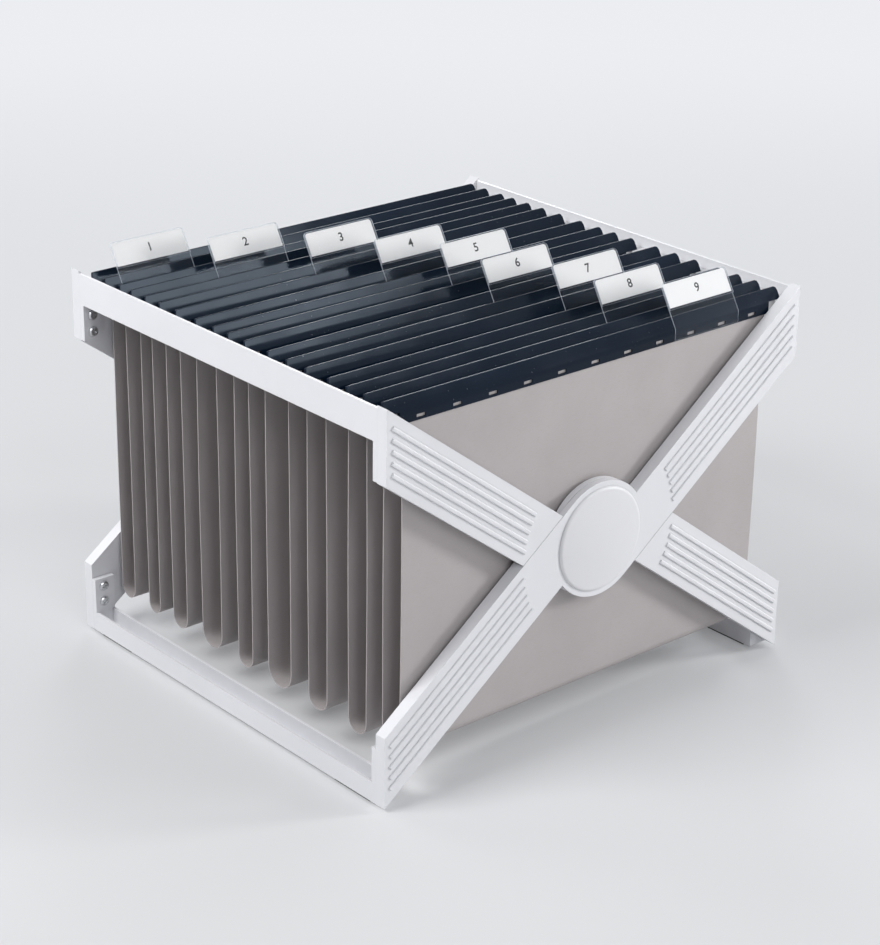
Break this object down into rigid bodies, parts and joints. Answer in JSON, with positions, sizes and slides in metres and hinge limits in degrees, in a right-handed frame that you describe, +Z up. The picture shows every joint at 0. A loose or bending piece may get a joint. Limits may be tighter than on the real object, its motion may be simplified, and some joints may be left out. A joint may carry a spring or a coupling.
{
  "type": "hanging file box",
  "caption": "Folding cross-armed frame with two ledge rails that carries hanging folders with leaning top strips, clear index tabs and paper labels; free-standing in a deep drawer.",
  "frame": {"origin": "on the resting plane under the middle of the box, below the hub line", "axes": "+Y from the front rail to the rear rail, along the folder strips; +X along the rails, towards the side the tabs lean away from; +Z up"},
  "size_m": [0.3452, 0.364, 0.2924],
  "materials": {
    "frame_plastic": "fine satin grain, light grey",
    "cap_plastic": "fine satin grain, light grey",
    "steel": "zinc plated",
    "foot_rubber": "matt",
    "folder_sheet": "smooth pressed board, grey",
    "strip_plastic": "glossy, near black",
    "clear_plastic": "clear",
    "label_paper": "matt white paper"
  },
  "bodies": {
    "rear_frame": {"rear_rail": "frame_plastic", "arm_rear_right": "frame_plastic", "arm_rear_left": "frame_plastic", "hub_cap_right": "cap_plastic", "hub_cap_left": "cap_plastic", "hub_pins": "steel", "front_foot_bar": "frame_plastic", "rear_frame_screws": "steel", "front_foot_pads": "foot_rubber"},
    "front_frame": {"front_rail": "frame_plastic", "arm_front_right": "frame_plastic", "arm_front_left": "frame_plastic", "rear_foot_bar": "frame_plastic", "front_frame_screws": "steel", "rear_foot_pads": "foot_rubber"},
    "folder_1": {"pocket_1": "folder_sheet", "rear_strip_1": "strip_plastic", "front_strip_1": "strip_plastic", "index_tab_1": "clear_plastic", "label_card_1": "label_paper"},
    "folder_2": {"pocket_2": "folder_sheet", "rear_strip_2": "strip_plastic", "front_strip_2": "strip_plastic", "index_tab_2": "clear_plastic", "label_card_2": "label_paper"},
    "folder_3": {"pocket_3": "folder_sheet", "rear_strip_3": "strip_plastic", "front_strip_3": "strip_plastic", "index_tab_3": "clear_plastic", "label_card_3": "label_paper"},
    "folder_4": {"pocket_4": "folder_sheet", "rear_strip_4": "strip_plastic", "front_strip_4": "strip_plastic", "index_tab_4": "clear_plastic", "label_card_4": "label_paper"},
    "folder_5": {"pocket_5": "folder_sheet", "rear_strip_5": "strip_plastic", "front_strip_5": "strip_plastic", "index_tab_5": "clear_plastic", "label_card_5": "label_paper"},
    "folder_6": {"pocket_6": "folder_sheet", "rear_strip_6": "strip_plastic", "front_strip_6": "strip_plastic", "index_tab_6": "clear_plastic", "label_card_6": "label_paper"},
    "folder_7": {"pocket_7": "folder_sheet", "rear_strip_7": "strip_plastic", "front_strip_7": "strip_plastic", "index_tab_7": "clear_plastic", "label_card_7": "label_paper"},
    "folder_8": {"pocket_8": "folder_sheet", "rear_strip_8": "strip_plastic", "front_strip_8": "strip_plastic", "index_tab_8": "clear_plastic", "label_card_8": "label_paper"},
    "folder_9": {"pocket_9": "folder_sheet", "rear_strip_9": "strip_plastic", "front_strip_9": "strip_plastic", "index_tab_9": "clear_plastic", "label_card_9": "label_paper"}
  },
  "joints": [
    {"name": "frame_fold", "type": "hinge", "parent": "rear_frame", "child": "front_frame", "pos_m": [0, 0, 0.1385], "axis": [-1, 0, 0], "range_deg": [0, 2]},
    {"name": "folder_1_tilt", "type": "hinge", "parent": "rear_frame", "child": "folder_1", "pos_m": [0, 0.17125, 0.2643], "axis": [-1, 0, 0], "range_deg": [0, 1]},
    {"name": "folder_2_slide", "type": "slide", "parent": "folder_1", "child": "folder_2", "axis": [1, 0, 0], "range_m": [-0.0105, 0.0046]},
    {"name": "folder_3_slide", "type": "slide", "parent": "folder_1", "child": "folder_3", "axis": [1, 0, 0], "range_m": [-0.0046, 0.0057]},
    {"name": "folder_4_slide", "type": "slide", "parent": "folder_1", "child": "folder_4", "axis": [1, 0, 0], "range_m": [-0.0057, 0.0061]},
    {"name": "folder_5_slide", "type": "slide", "parent": "folder_1", "child": "folder_5", "axis": [1, 0, 0], "range_m": [-0.0061, 0.0052]},
    {"name": "folder_6_slide", "type": "slide", "parent": "folder_1", "child": "folder_6", "axis": [1, 0, 0], "range_m": [-0.0052, 0.0059]},
    {"name": "folder_7_slide", "type": "slide", "parent": "folder_1", "child": "folder_7", "axis": [1, 0, 0], "range_m": [-0.0059, 0.0076]},
    {"name": "folder_8_slide", "type": "slide", "parent": "folder_1", "child": "folder_8", "axis": [1, 0, 0], "range_m": [-0.0076, 0.0047]},
    {"name": "folder_9_slide", "type": "slide", "parent": "folder_1", "child": "folder_9", "axis": [1, 0, 0], "range_m": [-0.0047, 0.0006]}
  ],
  "couplings": [
    {"joint": "folder_1_tilt", "follows": "frame_fold", "ratio": 0.5}
  ]
}
